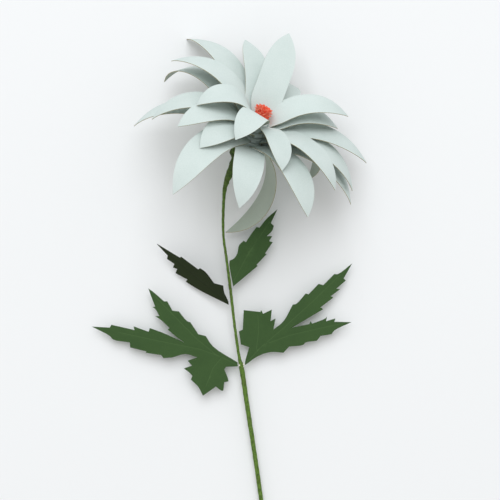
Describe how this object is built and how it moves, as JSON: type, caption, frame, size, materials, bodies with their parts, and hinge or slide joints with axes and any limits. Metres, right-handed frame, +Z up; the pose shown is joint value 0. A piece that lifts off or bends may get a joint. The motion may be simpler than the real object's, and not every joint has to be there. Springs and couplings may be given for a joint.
{
  "type": "paper dahlia",
  "caption": "Handmade paper dahlia with curled card petals, a fringed red centre, a wire stem wrapped in green tape and cut card leaves, laid down on a flat surface.",
  "frame": {"origin": "centre of the base of the bounding box, on the surface that the flower lies on", "axes": "+Y runs along the stem from its cut end towards the bloom, +Z is up from the surface, and +X is to the right when the flower is seen from above with the bloom at the top"},
  "size_m": [0.1712, 0.361, 0.0794],
  "materials": {
    "petal_card": "matte",
    "fringe_card": "matte",
    "leaf_card": "matte",
    "stem_tape": "matte",
    "wire": "satin"
  },
  "bodies": {
    "root": {"petal_ring_1": "petal_card", "petal_ring_2": "petal_card", "petal_ring_3": "petal_card", "petal_ring_4": "petal_card", "petal_ring_5": "petal_card", "fringed_centre": "fringe_card", "stem_wire": "wire", "stem_tape": "stem_tape", "leaf_upper_right": "leaf_card", "leaf_upper_left": "leaf_card", "leaf_lower_left": "leaf_card", "leaf_lower_right": "leaf_card"}
  },
  "joints": []
}
